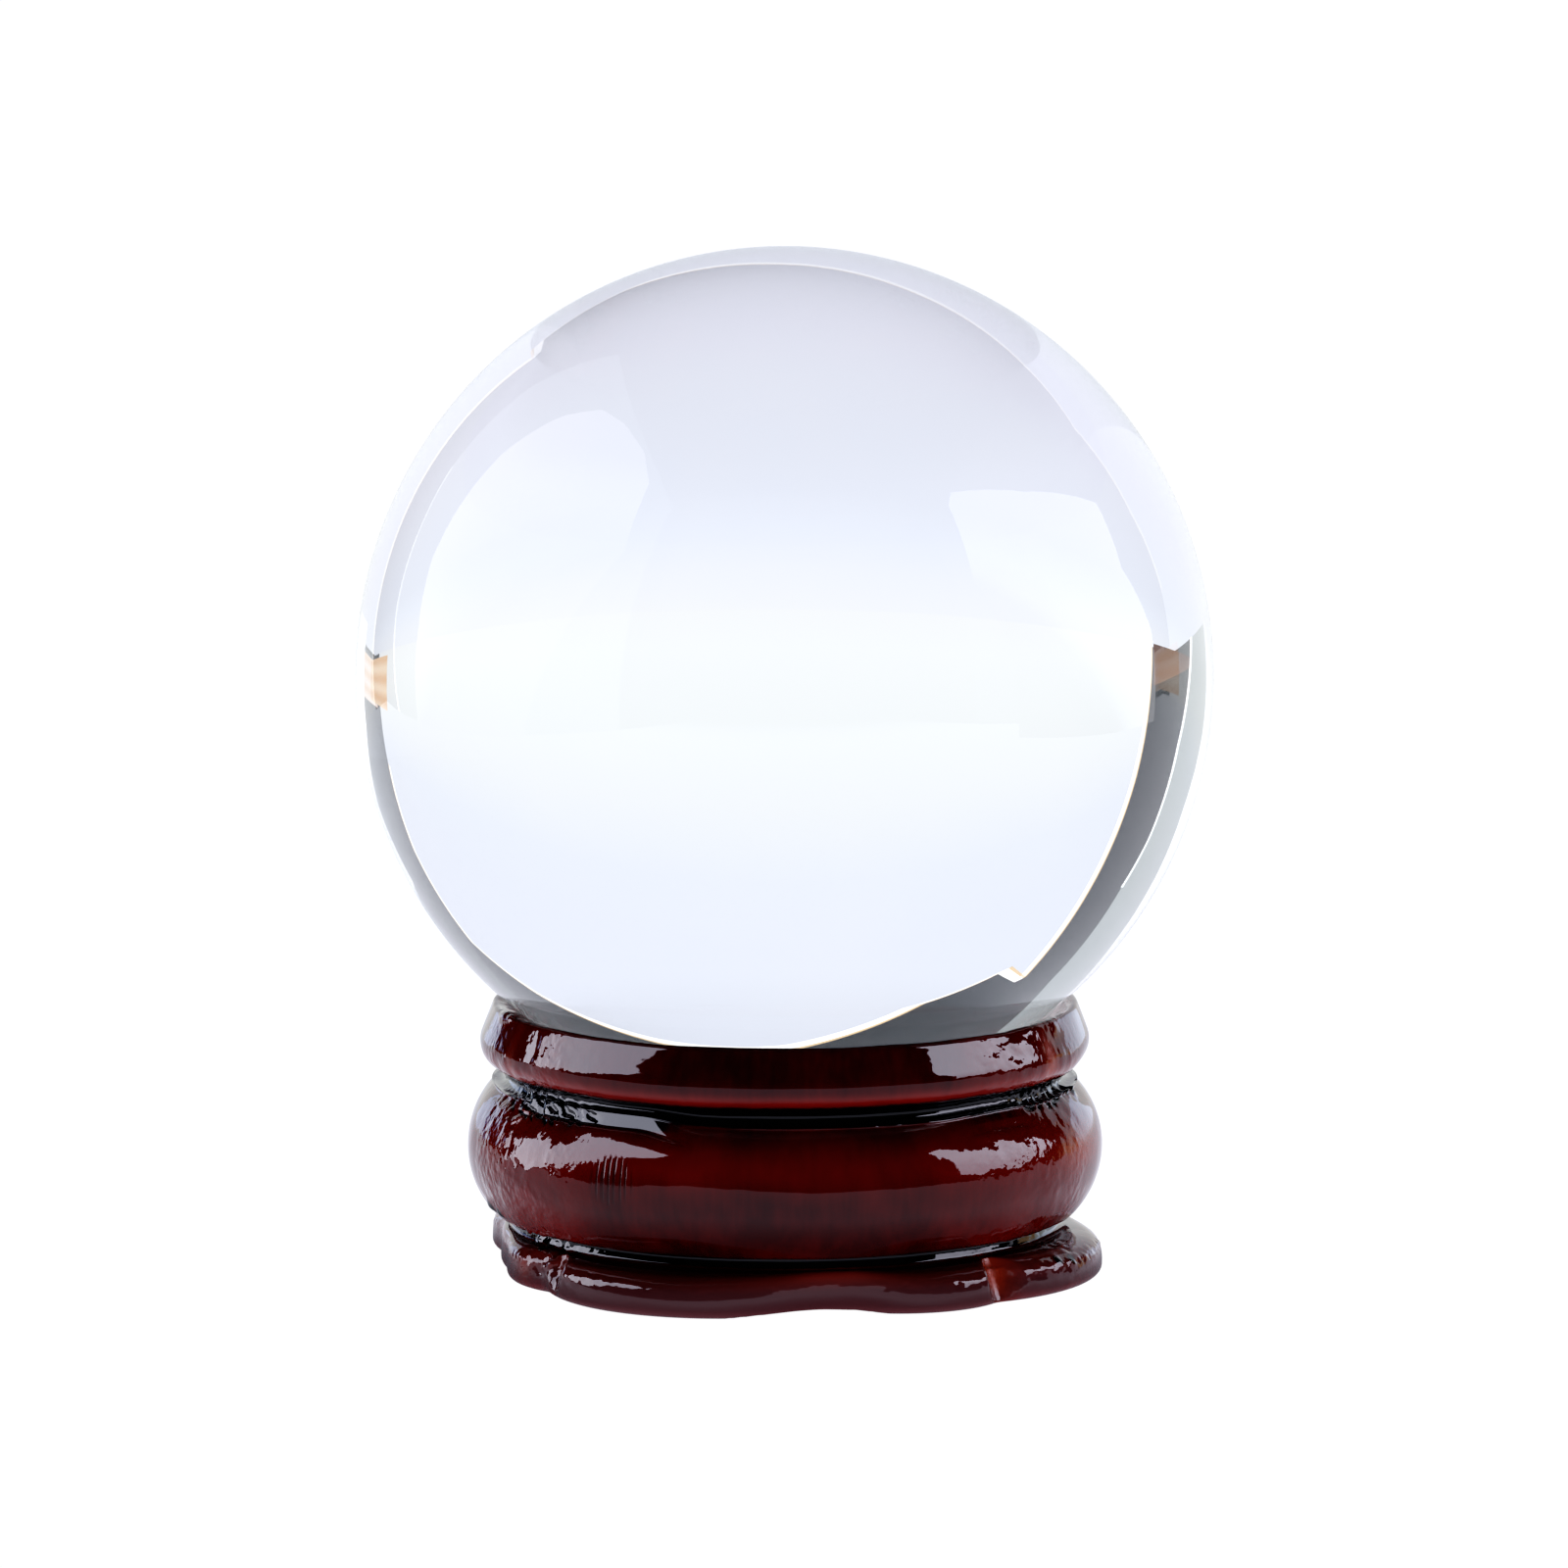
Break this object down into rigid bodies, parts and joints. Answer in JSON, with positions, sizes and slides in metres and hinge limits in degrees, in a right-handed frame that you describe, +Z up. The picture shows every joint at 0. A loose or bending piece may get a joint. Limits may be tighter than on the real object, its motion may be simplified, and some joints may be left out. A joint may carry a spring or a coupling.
{
  "type": "crystal ball on stand",
  "caption": "Clear glass ball resting in the dished seat of a turned, lacquered wooden stand with carved feet.",
  "frame": {"origin": "on the ground under the middle of the ball, where the stand's lathe axis meets the surface that it stands on", "axes": "+Z up the lathe axis through the middle of the ball; -Y is the side between two feet that faces the viewer; the feet are on the diagonals between X and Y"},
  "size_m": [0.04, 0.04, 0.0478],
  "materials": {
    "lacquered_wood": "dark red gloss lacquer with black stain in the coves",
    "clear_glass": "polished"
  },
  "bodies": {
    "stand": {"wood_stand": "lacquered_wood"},
    "ball": {"crystal_ball": "clear_glass"}
  },
  "joints": [
    {"name": "ball_lift", "type": "slide", "parent": "stand", "child": "ball", "axis": [0, 0, 1], "range_m": [0, 0.03]}
  ]
}
